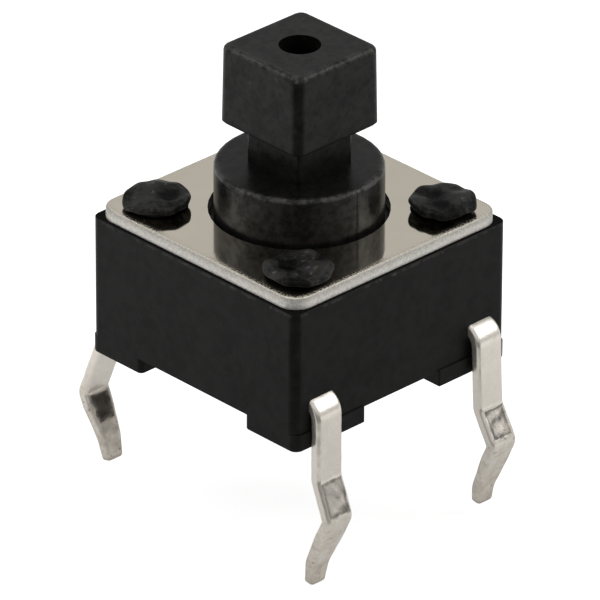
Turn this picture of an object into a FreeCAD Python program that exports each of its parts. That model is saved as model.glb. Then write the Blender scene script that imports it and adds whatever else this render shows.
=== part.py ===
# Through-hole tactile pushbutton with a square keycap head on a narrow neck.
#
# Frame: millimetres, +Z up.  The origin is the centre of the footprint on the plane that the
# four feet stand on, so the circuit board's top face is z = 0.  The terminals leave the two
# X walls of the housing, and each terminal frame runs across the housing along X.

import FreeCAD, Part
import Sketcher
import math
import os
from types import SimpleNamespace
from FreeCAD import Vector

doc = FreeCAD.newDocument("Pushbutton")
sheet = doc.addObject("Spreadsheet::Sheet", "Sizes")

# ------------------------------------------------------------------ driving sizes, mm

sizes = {
    # moulded housing
    "baseWidth": 6.0,          # along X and Y
    "baseTop": 3.14,           # the face that the cover lies on
    "baseCorner": 0.2,         # upright edges
    "baseTopEdge": 0.02,
    "bodyBottom": 0.345,       # underside of the body, above the board
    "footLengthX": 1.47,
    "footLengthY": 1.94,
    "footProud": 0.04,         # a foot stands out from the two X walls by this
    "footTop": 0.37,
    "footCorner": 0.12,        # the upright edges at a foot's end along X
    "footEnd": 0.03,           # the upright edge at a foot's end along Y
    "footEdge": 0.02,          # smaller than the upright edges, so that both fit
    # cavity, from the floor up
    "floorTop": 1.125,         # the terminal frames lie flush with this floor
    "domeClearance": 0.05,
    "guideFloor": 2.2,         # shelf where the plunger's guide starts
    "guideShelf": 0.2,
    "guideClearance": 0.05,
    "keyWidth": 0.8,           # two ears stop the plunger from turning
    "keyDepth": 0.25,
    # posts and heat stakes
    "postInset": 0.95,         # from the wall to a post's middle
    "postWidth": 0.9,
    "stakeWidth": 1.38,
    "stakeHeight": 0.225,
    "stakeCrown": 0.02,        # how far the middle of a stake stands above its edge
    "stakeEdge": 0.1,
    "stakeUndercut": 0.05,
    # cover plate
    "coverInset": 0.08,        # inside the housing's walls
    "coverThickness": 0.25,
    "coverCorner": 0.45,
    "coverEdge": 0.06,
    "postHoleClearance": 0.02,
    "stemHoleClearance": 0.12,
    # plunger
    "stemWidth": 3.5,
    "stemRise": 1.05,          # above the cover
    "stemEdge": 0.1,
    "flangeThickness": 0.6,
    "flangeClearance": 0.02,   # under the cover
    "hubWidth": 2.6,
    "hubBottom": 1.95,
    "pipWidth": 1.1,
    "neckWidth": 1.53,
    "neckLength": 0.88,
    "neckCorner": 0.08,
    "headWidth": 2.36,         # at its lower end
    "headLength": 1.77,
    "headDraft": 0.8,          # degrees, narrower towards the top
    "headCorner": 0.22,
    "headEdge": 0.12,
    "headLowerEdge": 0.06,
    "headHole": 0.87,
    "headHoleDepth": 1.1,
    # snap dome
    "domeWidth": 3.9,
    "domeRise": 0.33,
    "domeThickness": 0.06,
    "domeRim": 0.22,
    "domeGap": 0.01,           # between the dome's crown and the plunger
    # terminal strip, with its bends given on the strip's middle line
    "stripWidth": 0.7,
    "stripThickness": 0.27,
    "stripEdge": 0.05,         # the strip's long edges are broken by this
    "terminalPitch": 4.5,
    "shoulderRadius": 0.37,
    "straightRadius": 0.35,
    "kinkRadius": 0.2,
    "tipBendRadius": 0.8,
    "tipWidth": 0.42,
    "tipTaper": 1.25,
    # contacts on the floor
    "centreArm": 0.8,
    "centreContact": 1.1,
    "centreContactTop": 1.28,
    "outerArm": 0.65,
    "outerContactInset": 0.375,
    "outerContactLength": 1.2,
    "outerContactTop": 1.2,
}

# The legs were bent one by one and differ a little.  Each is a middle line in the XZ plane:
# the shoulder over the wall, the end of the straight run, the kink that snaps into the board,
# the bend above the tip, and the tip.  X is measured outwards from the housing's wall.
legWords = [
    "shoulderX", "straightX", "straightZ", "kinkX", "kinkZ", "tipBendX", "tipBendZ", "tipX", "tipZ",
]
legs = {
    "PlusFront": [0.15, 0.15, -0.75, 0.48, -1.60, -0.09, -2.80, -0.17, -3.32],
    "PlusBack": [0.18, 0.26, -0.78, 0.67, -1.50, 0.17, -2.69, 0.12, -3.08],
    "MinusFront": [0.16, 0.26, -0.15, 0.80, -1.50, 0.34, -2.42, 0.21, -2.94],
    "MinusBack": [0.16, 0.22, -0.60, 0.62, -1.52, 0.12, -2.72, 0.05, -3.12],
}
for leg, numbers in legs.items():
    for word, number in zip(legWords, numbers):
        sizes[word + leg] = number

for row, (name, number) in enumerate(sizes.items(), start=1):
    sheet.set(f"A{row}", name)
    sheet.set(f"B{row}", str(number))
    sheet.setAlias(f"B{row}", name)
doc.recompute()


class Size:
    """A value that carries its number together with its expression over the sheet's cells."""

    def __init__(self, number, expression):
        self.number = number
        self.expression = expression

    def __neg__(self):
        return Size(-self.number, f"-({self.expression})")

    def __add__(self, other):
        return Size(self.number + number_of(other), f"({self.expression} + {text_of(other)})")

    def __sub__(self, other):
        return Size(self.number - number_of(other), f"({self.expression} - {text_of(other)})")

    def __mul__(self, other):
        return Size(self.number * number_of(other), f"({self.expression} * {text_of(other)})")

    def __truediv__(self, other):
        return Size(self.number / number_of(other), f"({self.expression} / {text_of(other)})")


def number_of(value):
    return value.number if isinstance(value, Size) else value


def text_of(value):
    return value.expression if isinstance(value, Size) else f"({value})"


def root(value):
    return Size(math.sqrt(value.number), f"sqrt({value.expression})")


s = SimpleNamespace(**{name: Size(number, "Sizes." + name) for name, number in sizes.items()})

# heights and places that more than one piece shares
half = s.baseWidth / 2
coverTop = s.baseTop + s.coverThickness
postAt = half - s.postInset
domePocketWidth = s.domeWidth + s.domeClearance * 2
guideWidth = domePocketWidth + s.guideShelf * 2
keyReach = guideWidth / 2 + s.keyDepth
plateBottom = s.floorTop - s.stripThickness
backRow = s.terminalPitch / 2
outerContactX = s.domeWidth / 2 - s.outerContactInset


# ------------------------------------------------------------------ drawing helpers

def sketch_on(body, name, plane, offset=None):
    sketch = body.newObject("Sketcher::SketchObject", name)
    origin = next(item for item in body.Origin.OriginFeatures if item.Role == plane)
    sketch.AttachmentSupport = [(origin, "")]
    sketch.MapMode = "FlatFace"
    if offset is not None:
        sketch.setExpression("AttachmentOffset.Base.z", offset.expression)
    return sketch


def spot_of(point):
    return Vector(number_of(point[0]), number_of(point[1]), 0)


def hold(sketch, constraint, size):
    """Adds a dimension and ties it to the sheet."""
    index = sketch.addConstraint(constraint)
    sketch.setExpression(f"Constraints[{index}]", size.expression)


def pin(sketch, line, point, spot):
    """Fixes a sketch point at a pair of sizes; a plain 0 puts it on that axis."""
    for axis, other, size in (("X", -2, spot[0]), ("Y", -1, spot[1])):
        if number_of(size) == 0:
            sketch.addConstraint(Sketcher.Constraint("PointOnObject", line, point, other))
        elif number_of(size) > 0:
            hold(sketch, Sketcher.Constraint("Distance" + axis, -1, 1, line, point, size.number), size)
        else:
            hold(sketch, Sketcher.Constraint("Distance" + axis, line, point, -1, 1, -size.number), -size)


def polygon(sketch, corners):
    """A closed outline of straight lines through corners given as pairs of sizes."""
    spots = [spot_of(corner) for corner in corners]
    lines = [
        sketch.addGeometry(Part.LineSegment(start, end))
        for start, end in zip(spots, spots[1:] + spots[:1])
    ]
    for i, corner in enumerate(corners):
        sketch.addConstraint(Sketcher.Constraint("Coincident", lines[i - 1], 2, lines[i], 1))
        pin(sketch, lines[i], 1, corner)


def rectangle(sketch, left, right, low, high):
    polygon(sketch, [(left, low), (right, low), (right, high), (left, high)])


def square(sketch, width):
    rectangle(sketch, -width / 2, width / 2, -width / 2, width / 2)


def circle(sketch, centre, width):
    ring = sketch.addGeometry(Part.Circle(spot_of(centre), Vector(0, 0, 1), width.number / 2))
    pin(sketch, ring, 3, centre)
    hold(sketch, Sketcher.Constraint("Diameter", ring, width.number), width)


def bent_line(sketch, corners, radii):
    """An open path of straight runs joined by tangent arcs.  The corners are where the runs
    would meet, as pairs of sizes, and each inner corner has its bend's radius."""
    spots = [spot_of(corner) for corner in corners]
    starts = [spots[0]]
    ends = []
    middles = []
    turns = []
    for before, corner, after, radius in zip(spots, spots[1:], spots[2:], radii):
        come = (before - corner).normalize()
        leave = (after - corner).normalize()
        half = come.getAngle(leave) / 2
        reach = radius.number / math.tan(half)
        ends.append(corner + come * reach)
        starts.append(corner + leave * reach)
        middles.append(corner + (come + leave).normalize() * (radius.number / math.sin(half)))
        turns.append(come.cross(leave).z)
    ends.append(spots[-1])
    runs = [sketch.addGeometry(Part.LineSegment(start, end)) for start, end in zip(starts, ends)]
    for i, middle in enumerate(middles):
        leftward = turns[i] < 0
        first = (ends[i] if leftward else starts[i + 1]) - middle
        last = (starts[i + 1] if leftward else ends[i]) - middle
        rim = Part.Circle(middle, Vector(0, 0, 1), radii[i].number)
        sweep = Part.ArcOfCircle(rim, math.atan2(first.y, first.x), math.atan2(last.y, last.x))
        arc = sketch.addGeometry(sweep)
        entry, leaving = (1, 2) if leftward else (2, 1)
        sketch.addConstraint(Sketcher.Constraint("Tangent", runs[i], 2, arc, entry))
        sketch.addConstraint(Sketcher.Constraint("Tangent", arc, leaving, runs[i + 1], 1))
        hold(sketch, Sketcher.Constraint("Radius", arc, radii[i].number), radii[i])
        corner = sketch.addGeometry(Part.Point(spots[i + 1]), True)
        sketch.addConstraint(Sketcher.Constraint("PointOnObject", corner, 1, runs[i]))
        sketch.addConstraint(Sketcher.Constraint("PointOnObject", corner, 1, runs[i + 1]))
        pin(sketch, corner, 1, corners[i + 1])
    pin(sketch, runs[0], 1, corners[0])
    pin(sketch, runs[-1], 2, corners[-1])


# ------------------------------------------------------------------ feature helpers

def body_named(name):
    body = doc.addObject("PartDesign::Body", name)
    body.Label = name
    return body


def pad(sketch, name, length, symmetric=False, draft=None):
    body = sketch.getParentGeoFeatureGroup()
    feature = body.newObject("PartDesign::Pad", name)
    feature.Profile = sketch
    feature.setExpression("Length", length.expression)
    feature.Midplane = symmetric
    if draft is not None:
        feature.setExpression("TaperAngle", draft.expression)
    doc.recompute()
    return feature


def pocket(sketch, name, depth, along_normal=False):
    """Cuts against the sketch's normal, or along it, and proves that something was cut."""
    body = sketch.getParentGeoFeatureGroup()
    before = body.Shape.Volume
    feature = body.newObject("PartDesign::Pocket", name)
    feature.Profile = sketch
    feature.setExpression("Length", depth.expression)
    feature.Reversed = along_normal
    doc.recompute()
    if not feature.Shape.Volume < before:
        raise RuntimeError(f"{name} cut nothing")
    return feature


def revolve(sketch, name, axis="V_Axis"):
    body = sketch.getParentGeoFeatureGroup()
    feature = body.newObject("PartDesign::Revolution", name)
    feature.Profile = sketch
    feature.ReferenceAxis = (sketch, [axis])
    feature.Angle = 360
    doc.recompute()
    return feature


def four_times(feature, name):
    """Repeats a feature in the four quarters of the plan."""
    body = feature.getParentGeoFeatureGroup()
    pattern = body.newObject("PartDesign::PolarPattern", name)
    pattern.Originals = [feature]
    axis = next(item for item in body.Origin.OriginFeatures if item.Role == "Z_Axis")
    pattern.Axis = (axis, [""])
    pattern.Angle = 360
    pattern.Occurrences = 4
    body.Tip = pattern
    doc.recompute()
    return pattern


def dress(feature, name, kind, size, wanted):
    """Fillets or chamfers the edges of a feature that the test picks."""
    body = feature.getParentGeoFeatureGroup()
    picked = [f"Edge{i}" for i, edge in enumerate(feature.Shape.Edges, start=1) if wanted(edge)]
    if not picked:
        raise RuntimeError(f"{name} found no edge")
    made = body.newObject("PartDesign::" + kind, name)
    made.Base = (feature, picked)
    made.setExpression("Radius" if kind == "Fillet" else "Size", size.expression)
    doc.recompute()
    return made


def at(number, size):
    return abs(number - number_of(size)) < 1e-4


def upright(edge):
    if len(edge.Vertexes) < 2:
        return False
    run = edge.Vertexes[1].Point - edge.Vertexes[0].Point
    return math.hypot(run.x, run.y) < 0.05 * abs(run.z)


def level(edge, height):
    return at(edge.BoundBox.ZMin, height) and at(edge.BoundBox.ZMax, height)


def upright_at(edge, x, y):
    middle = edge.CenterOfMass
    return upright(edge) and at(abs(middle.x), x) and at(abs(middle.y), y)


def farther_out(edge, reach):
    """True for an edge whose middle lies beyond a square of this half width in plan."""
    middle = edge.CenterOfMass
    return max(abs(middle.x), abs(middle.y)) > reach.number


# ------------------------------------------------------------------ terminal frames

def add_leg(body, row, leg, side):
    """One strip from the middle of the housing over its plus or minus X wall and down."""
    at_leg = {word: getattr(s, word + leg) for word in legWords}
    section = sketch_on(body, "Section" + leg, "YZ_Plane")
    near = row - s.stripWidth / 2
    far = row + s.stripWidth / 2
    edge = s.stripEdge
    polygon(
        section,
        [
            (near, plateBottom + edge),
            (near + edge, plateBottom),
            (far - edge, plateBottom),
            (far, plateBottom + edge),
            (far, s.floorTop - edge),
            (far - edge, s.floorTop),
            (near + edge, s.floorTop),
            (near, s.floorTop - edge),
        ],
    )

    path = sketch_on(body, "Path" + leg, "XZ_Plane")
    middle = s.floorTop - s.stripThickness / 2
    corners = [(0, middle), ((half + at_leg["shoulderX"]) * side, middle)]
    for word in ("straight", "kink", "tipBend", "tip"):
        corners.append(((half + at_leg[word + "X"]) * side, at_leg[word + "Z"]))
    bent_line(path, corners, [s.shoulderRadius, s.straightRadius, s.kinkRadius, s.tipBendRadius])
    doc.recompute()
    strip = body.newObject("PartDesign::AdditivePipe", "Strip" + leg)
    strip.Profile = section
    strip.Spine = (path, [f"Edge{i + 1}" for i in range(len(path.Shape.Edges))])
    doc.recompute()

    # the tip narrows on both sides over its last stretch
    taper = sketch_on(body, "Taper" + leg, "YZ_Plane")
    top = at_leg["tipZ"] + s.tipTaper
    below = at_leg["tipZ"] - s.stripThickness
    slope = (s.stripWidth - s.tipWidth) / 2 / s.tipTaper
    narrow = s.tipWidth / 2 - slope * s.stripThickness
    for y in (-1, 1):
        polygon(
            taper,
            [
                (row + s.stripWidth / 2 * y, top),
                (row + s.stripWidth * y, top),
                (row + s.stripWidth * y, below),
                (row + narrow * y, below),
            ],
        )
    reach = half + at_leg["kinkX"] + s.stripWidth
    pocket(taper, "TaperCut" + leg, reach, along_normal=side > 0)


def add_plate(body, name, low, high, draw):
    """A flat piece of the frame between two heights, drawn in plan."""
    outline = sketch_on(body, name + "Outline", "XY_Plane", low)
    draw(outline)
    pad(outline, name, high - low)


def terminal_frame_centre():
    """The two front legs and the contact under the middle of the dome."""
    body = body_named("terminal_frame_centre")
    add_leg(body, -backRow, "PlusFront", 1)
    add_leg(body, -backRow, "MinusFront", -1)
    arm = s.centreArm / 2
    add_plate(
        body, "CentreArm", plateBottom, s.floorTop,
        lambda outline: rectangle(outline, -arm, arm, -backRow, 0),
    )
    add_plate(
        body, "CentreContact", plateBottom, s.centreContactTop,
        lambda outline: circle(outline, (0, 0), s.centreContact),
    )
    return body


def terminal_frame_outer():
    """The two back legs and the two contacts that the dome's rim rests on."""
    body = body_named("terminal_frame_outer")
    add_leg(body, backRow, "PlusBack", 1)
    add_leg(body, backRow, "MinusBack", -1)
    reach = s.outerContactLength / 2
    for side, word in ((1, "Plus"), (-1, "Minus")):
        left = outerContactX * side - s.outerArm / 2
        right = outerContactX * side + s.outerArm / 2
        add_plate(
            body, "OuterArm" + word, plateBottom, s.floorTop,
            lambda outline: rectangle(outline, left, right, -reach, backRow),
        )
        add_plate(
            body, "OuterContact" + word, plateBottom, s.outerContactTop,
            lambda outline: rectangle(outline, left, right, -reach, reach),
        )
    return body


# ------------------------------------------------------------------ moulded housing

def add_feet(body):
    """Four feet, each a little proud of its X wall."""
    proud = half + s.footProud
    innerX = half - s.footLengthX
    innerY = half - s.footLengthY
    outline = sketch_on(body, "FeetOutline", "XY_Plane")
    for x in (-1, 1):
        for y in (-1, 1):
            rectangle(outline, innerX * x, proud * x, innerY * y, half * y)
    feet = pad(outline, "Feet", s.footTop)
    feet = dress(
        feet, "FeetOuterCorners", "Fillet", s.baseCorner,
        lambda edge: upright_at(edge, proud, half),
    )
    feet = dress(
        feet, "FeetInnerCorners", "Fillet", s.footCorner,
        lambda edge: upright_at(edge, innerX, innerY) or upright_at(edge, innerX, half),
    )
    feet = dress(
        feet, "FeetEnds", "Fillet", s.footEnd, lambda edge: upright_at(edge, proud, innerY)
    )
    dress(feet, "FeetLowerEdges", "Chamfer", s.footEdge, lambda edge: level(edge, 0))


def cut_cavity(body):
    """Guide for the plunger's flange and ears, and below it the dome's pocket."""
    outline = sketch_on(body, "GuideOutline", "XY_Plane", s.baseTop)
    circle(outline, (0, 0), guideWidth)
    pocket(outline, "Guide", s.baseTop - s.guideFloor)
    keyway = sketch_on(body, "KeywayOutline", "XY_Plane", s.baseTop)
    halfKey = s.keyWidth / 2 + s.guideClearance
    rectangle(keyway, -halfKey, halfKey, -keyReach, keyReach)
    pocket(keyway, "Keyway", s.baseTop - s.guideFloor)
    domePocket = sketch_on(body, "DomePocketOutline", "XY_Plane", s.baseTop)
    circle(domePocket, (0, 0), domePocketWidth)
    pocket(domePocket, "DomePocket", s.baseTop - s.floorTop)


def add_posts(body):
    """Four posts, each melted over the cover into a low mushroom."""
    shank = postAt + s.postWidth / 2
    rim = postAt + s.stakeWidth / 2
    stakeTop = coverTop + s.stakeHeight
    root_z = s.baseTop - s.postWidth / 2
    # the rounded edge is drawn in straight steps round a quarter of a circle
    steps = 3
    edgeSpots = []
    for i in range(steps + 1):
        turn = math.pi / 2 * i / steps
        inward = s.stakeEdge * (1 - math.cos(turn))
        down = s.stakeEdge * (1 - math.sin(turn))
        edgeSpots.append((rim - inward, stakeTop - s.stakeCrown - down))
    profile = sketch_on(body, "PostProfile", "XZ_Plane", -postAt)
    foot = (postAt, 0)
    tip = (postAt, s.baseTop)
    axis = profile.addGeometry(Part.LineSegment(spot_of(foot), spot_of(tip)), True)
    pin(profile, axis, 1, foot)
    pin(profile, axis, 2, tip)
    polygon(
        profile,
        [
            (postAt, root_z),
            (shank, root_z),
            (shank, coverTop),
            (rim - s.stakeUndercut, coverTop),
            (rim, coverTop + s.stakeUndercut),
            *edgeSpots,
            (postAt, stakeTop),
        ],
    )
    four_times(revolve(profile, "Post", "Axis0"), "Posts")


def base_housing(frames):
    body = body_named("housing_moulding")
    outline = sketch_on(body, "BlockOutline", "XY_Plane", s.bodyBottom)
    square(outline, s.baseWidth)
    block = pad(outline, "Block", s.baseTop - s.bodyBottom)
    block = dress(block, "BlockCorners", "Fillet", s.baseCorner, upright)
    dress(block, "BlockTopEdge", "Chamfer", s.baseTopEdge, lambda edge: level(edge, s.baseTop))
    add_feet(body)
    cut_cavity(body)
    add_posts(body)
    # the plastic is moulded round the terminal frames, so they leave their own shape in it
    housing = body
    for frame in frames:
        cut = doc.addObject("Part::Cut", "Round_" + frame.Name)
        cut.Base = housing
        cut.Tool = frame
        doc.recompute()
        housing = cut
    housing.Label = "base_housing"
    return housing


# ------------------------------------------------------------------ cover plate

def cover_plate():
    body = body_named("cover_plate")
    outline = sketch_on(body, "PlateOutline", "XY_Plane", s.baseTop)
    square(outline, s.baseWidth - s.coverInset * 2)
    plate = pad(outline, "Plate", s.coverThickness)
    dress(plate, "PlateCorners", "Fillet", s.coverCorner, upright)
    stemHole = sketch_on(body, "StemHoleOutline", "XY_Plane", coverTop)
    circle(stemHole, (0, 0), s.stemWidth + s.stemHoleClearance * 2)
    pocket(stemHole, "StemHole", s.coverThickness)
    postHole = sketch_on(body, "PostHoleOutline", "XY_Plane", coverTop)
    circle(postHole, (postAt, postAt), s.postWidth + s.postHoleClearance * 2)
    plate = four_times(pocket(postHole, "PostHole", s.coverThickness), "PostHoles")
    # the blanked edge is rolled over on the upper side
    inside = half - s.coverInset - s.coverCorner
    dress(
        plate, "RolledEdge", "Fillet", s.coverEdge,
        lambda edge: level(edge, coverTop) and farther_out(edge, inside),
    )
    return body


# ------------------------------------------------------------------ plunger

def plunger():
    """Stem, flange and ears below the cover, a square neck and the head that takes a keycap."""
    body = body_named("plunger")
    pipBottom = s.outerContactTop + s.domeRise + s.domeThickness + s.domeGap
    flangeTop = s.baseTop - s.flangeClearance
    flangeBottom = flangeTop - s.flangeThickness
    flangeReach = guideWidth / 2 - s.guideClearance
    stemTop = coverTop + s.stemRise
    neckTop = stemTop + s.neckLength
    headTop = neckTop + s.headLength

    profile = sketch_on(body, "StemProfile", "XZ_Plane")
    polygon(
        profile,
        [
            (0, pipBottom),
            (s.pipWidth / 2, pipBottom),
            (s.pipWidth / 2, s.hubBottom),
            (s.hubWidth / 2, s.hubBottom),
            (s.hubWidth / 2, flangeBottom),
            (flangeReach, flangeBottom),
            (flangeReach, flangeTop),
            (s.stemWidth / 2, flangeTop),
            (s.stemWidth / 2, stemTop),
            (0, stemTop),
        ],
    )
    stem = revolve(profile, "Stem")
    dress(stem, "StemEdge", "Fillet", s.stemEdge, lambda edge: level(edge, stemTop))

    ears = sketch_on(body, "EarsOutline", "XY_Plane", flangeBottom)
    earReach = keyReach - s.guideClearance
    rectangle(ears, -s.keyWidth / 2, s.keyWidth / 2, -earReach, earReach)
    pad(ears, "Ears", s.flangeThickness)

    neckOutline = sketch_on(body, "NeckOutline", "XY_Plane", stemTop)
    square(neckOutline, s.neckWidth)
    neck = pad(neckOutline, "Neck", s.neckLength)
    neckHalf = s.neckWidth / 2
    dress(
        neck, "NeckCorners", "Fillet", s.neckCorner,
        lambda edge: upright_at(edge, neckHalf, neckHalf),
    )

    ledge = (s.neckWidth + s.headWidth) / 4  # between the neck's sides and the head's
    headOutline = sketch_on(body, "HeadOutline", "XY_Plane", neckTop)
    square(headOutline, s.headWidth)
    head = pad(headOutline, "Head", s.headLength, draft=-s.headDraft)
    head = dress(
        head, "HeadCorners", "Fillet", s.headCorner,
        lambda edge: upright(edge) and edge.CenterOfMass.z > neckTop.number,
    )
    head = dress(head, "HeadTopEdge", "Fillet", s.headEdge, lambda edge: level(edge, headTop))
    head = dress(
        head, "HeadLowerEdge", "Chamfer", s.headLowerEdge,
        lambda edge: level(edge, neckTop) and farther_out(edge, ledge),
    )
    hole = sketch_on(body, "HeadHoleOutline", "XY_Plane", headTop)
    circle(hole, (0, 0), s.headHole)
    pocket(hole, "HeadHole", s.headHoleDepth)
    return body


# ------------------------------------------------------------------ snap dome

def snap_dome():
    """A spherical cap of thin spring steel with a narrow flat rim."""
    body = body_named("snap_dome")
    rimBottom = s.outerContactTop
    rimTop = rimBottom + s.domeThickness
    reach = s.domeWidth / 2
    span = reach - s.domeRim
    radius = (span * span + s.domeRise * s.domeRise) / (s.domeRise * 2)
    centre = rimBottom + s.domeRise - radius
    outerRadius = radius + s.domeThickness
    outerSpan = root(outerRadius * outerRadius - (rimTop - centre) * (rimTop - centre))
    crown = centre + radius

    profile = sketch_on(body, "DomeProfile", "XZ_Plane")
    middle = spot_of((0, centre))
    arcs = []
    for rim, across, height in ((radius, span, rimBottom), (outerRadius, outerSpan, rimTop)):
        start = math.atan2(height.number - centre.number, across.number)
        whole = Part.Circle(middle, Vector(0, 0, 1), rim.number)
        arc = profile.addGeometry(Part.ArcOfCircle(whole, start, math.pi / 2))
        pin(profile, arc, 3, (0, centre))
        profile.addConstraint(Sketcher.Constraint("PointOnObject", arc, 2, -2))
        hold(profile, Sketcher.Constraint("Radius", arc, rim.number), rim)
        arcs.append(arc)
    corners = [(span, rimBottom), (reach, rimBottom), (reach, rimTop), (outerSpan, rimTop)]
    spots = [spot_of(corner) for corner in corners]
    lines = [
        profile.addGeometry(Part.LineSegment(start, end)) for start, end in zip(spots, spots[1:])
    ]
    axis = profile.addGeometry(
        Part.LineSegment(spot_of((0, crown)), spot_of((0, crown + s.domeThickness)))
    )
    for first, firstPoint, second, secondPoint in (
        (arcs[0], 1, lines[0], 1),
        (lines[0], 2, lines[1], 1),
        (lines[1], 2, lines[2], 1),
        (lines[2], 2, arcs[1], 1),
        (arcs[0], 2, axis, 1),
        (axis, 2, arcs[1], 2),
    ):
        profile.addConstraint(Sketcher.Constraint("Coincident", first, firstPoint, second, secondPoint))
    profile.addConstraint(Sketcher.Constraint("Horizontal", lines[0]))
    profile.addConstraint(Sketcher.Constraint("Horizontal", lines[2]))
    pin(profile, lines[1], 1, corners[1])
    pin(profile, lines[1], 2, corners[2])
    revolve(profile, "Dome")
    return body


# ------------------------------------------------------------------ build, check and write

centreFrame = terminal_frame_centre()
outerFrame = terminal_frame_outer()
housing = base_housing([centreFrame, outerFrame])
pieces = [housing, cover_plate(), plunger(), snap_dome(), centreFrame, outerFrame]
doc.recompute()
for item in doc.Objects:
    if "Invalid" in item.State or "Error" in item.State:
        raise RuntimeError(f"{item.Label} failed: {item.State}")
for piece in pieces:
    shape = piece.Shape
    if shape.isNull() or not shape.isValid() or len(shape.Solids) != 1:
        raise RuntimeError(f"{piece.Label} is not one valid solid")
os.makedirs("parts", exist_ok=True)
for piece in pieces:
    piece.Shape.exportStep(f"parts/{piece.Label}.step")
    box = piece.Shape.BoundBox
    print(f"{piece.Label}: {piece.Shape.Volume:.4f} mm3, z {box.ZMin:.3f} to {box.ZMax:.3f}")
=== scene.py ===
import math

import bmesh
import bpy
import numpy as np
from mathutils import Matrix, Vector


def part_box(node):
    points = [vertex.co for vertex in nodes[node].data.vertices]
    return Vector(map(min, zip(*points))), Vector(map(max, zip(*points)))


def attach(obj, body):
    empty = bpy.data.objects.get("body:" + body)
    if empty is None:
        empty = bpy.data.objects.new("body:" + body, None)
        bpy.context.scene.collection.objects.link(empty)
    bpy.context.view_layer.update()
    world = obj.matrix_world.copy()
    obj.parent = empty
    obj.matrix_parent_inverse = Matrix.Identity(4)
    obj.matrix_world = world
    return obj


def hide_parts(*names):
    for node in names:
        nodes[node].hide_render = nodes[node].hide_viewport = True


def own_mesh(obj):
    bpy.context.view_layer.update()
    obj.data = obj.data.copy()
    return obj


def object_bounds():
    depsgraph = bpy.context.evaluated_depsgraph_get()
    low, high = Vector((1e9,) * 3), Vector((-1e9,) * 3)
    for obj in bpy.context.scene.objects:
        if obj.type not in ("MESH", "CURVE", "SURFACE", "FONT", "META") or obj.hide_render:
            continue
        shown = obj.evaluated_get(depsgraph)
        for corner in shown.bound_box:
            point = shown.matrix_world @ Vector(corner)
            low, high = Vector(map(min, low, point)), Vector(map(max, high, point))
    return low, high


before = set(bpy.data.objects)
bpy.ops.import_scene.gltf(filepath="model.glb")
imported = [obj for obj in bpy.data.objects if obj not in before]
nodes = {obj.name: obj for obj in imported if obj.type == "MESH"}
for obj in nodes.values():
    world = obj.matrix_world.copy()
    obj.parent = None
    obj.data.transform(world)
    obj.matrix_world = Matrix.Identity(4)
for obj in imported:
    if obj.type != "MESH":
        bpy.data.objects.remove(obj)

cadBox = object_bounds()
mm = 0.001
white = (1, 1, 1, 1)
print("frame loaded:", ", ".join(sorted(nodes)))

# a pale floor, a white surround that only gloss sees in part, soft lamps and the camera
stageLook = {
    "floorHalf": 0.9,          # m
    "floorGlow": 0.76,         # part of the floor's white that no shadow can take away
    "floorColour": (0.8, 0.8, 0.8),
    "near": (9.5, 12.0),       # mm; all round the object the floor is white up to here
    "under": (3.0, 20.0),      # mm; under it, in gloss, the floor is dimmer up to here
    "underLevels": (0.5, 1.0),
    "skyHeights": (0.1, 0.5),  # in gloss the sky is dim up to this height of the direction
    "skyLevels": (0.46, 0.66),
    "skyDiffuse": 0.25,        # what matt surfaces receive
    "leftGain": 0.1,           # how much brighter the left is than the right, in gloss
    "leftAzimuth": -44,
    "darkAzimuth": 46,         # the side that no white card closes, as gloss sees it
    "darkSides": (62, 38),     # degrees to either side where it ends and where it is darkest
    "darkLevel": 0.12,
    "closed": (0.03, 0.22),    # and it is closed again from this height of the direction
}

camera = {
    "azimuth": 46.007,
    "elevation": 28.514,
    "roll": 0.239,
    "distance": 179.84 * mm,
    "lens": 529.3,             # mm, on a sensor this wide
    "sensor": 36,
    "clipFrom": 0.01,          # m
    "clipTo": 5,
    "aimRight": 0.024 * mm,    # the point aimed at, from the middle of the body
    "aimUp": -1.558 * mm,
    "aimHeight": 3.0 * mm,
}

lamps = {
    "leftLamp": {"azimuth": -48, "elevation": 38, "distance": 0.22, "size": 0.14, "power": 0.09},
    "rightLamp": {"azimuth": 140, "elevation": 38, "distance": 0.22, "size": 0.14, "power": 0.14},
    "topLamp": {"azimuth": 226, "elevation": 75, "distance": 0.25, "size": 0.2, "power": 0.12},
}


def nodeTree(owner):
    owner.use_nodes = True
    owner.node_tree.nodes.clear()
    return owner.node_tree


def addNode(tree, kind, inputs=None, **props):
    # a node with its plain properties, and its inputs set to values or linked to other outputs
    made = tree.nodes.new(kind)
    for name, value in props.items():
        setattr(made, name, value)
    for name, value in (inputs or {}).items():
        if isinstance(value, bpy.types.NodeSocket):
            tree.links.new(value, made.inputs[name])
        else:
            made.inputs[name].default_value = value
    return made


def calculate(tree, operation, *values):
    # one Math node on numbers or outputs
    inputs = dict(enumerate(values))
    return addNode(tree, "ShaderNodeMath", inputs, operation=operation).outputs[0]


def vectorMath(tree, operation, first, second=None):
    # one Vector Math node, which gives a number for a length or a dot product
    inputs = {0: first} if second is None else {0: first, 1: second}
    outputs = addNode(tree, "ShaderNodeVectorMath", inputs, operation=operation).outputs
    return outputs["Value" if operation in ("LENGTH", "DOT_PRODUCT") else "Vector"]


def separate(tree, vector):
    return addNode(tree, "ShaderNodeSeparateXYZ", {0: vector}).outputs


def mixNumbers(tree, factor, first, second):
    # the second number over the first by this factor
    inputs = {"Factor": factor, "A": first, "B": second}
    return addNode(tree, "ShaderNodeMix", inputs, data_type="FLOAT").outputs["Result"]


def newObject(name, data):
    made = bpy.data.objects.new(name, data)
    bpy.context.scene.collection.objects.link(made)
    return made


def newMaterial(name):
    # a material, its nodes and the place on the object
    material = bpy.data.materials.new(name)
    tree = nodeTree(material)
    return material, tree, addNode(tree, "ShaderNodeTexCoord").outputs["Object"]


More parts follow.
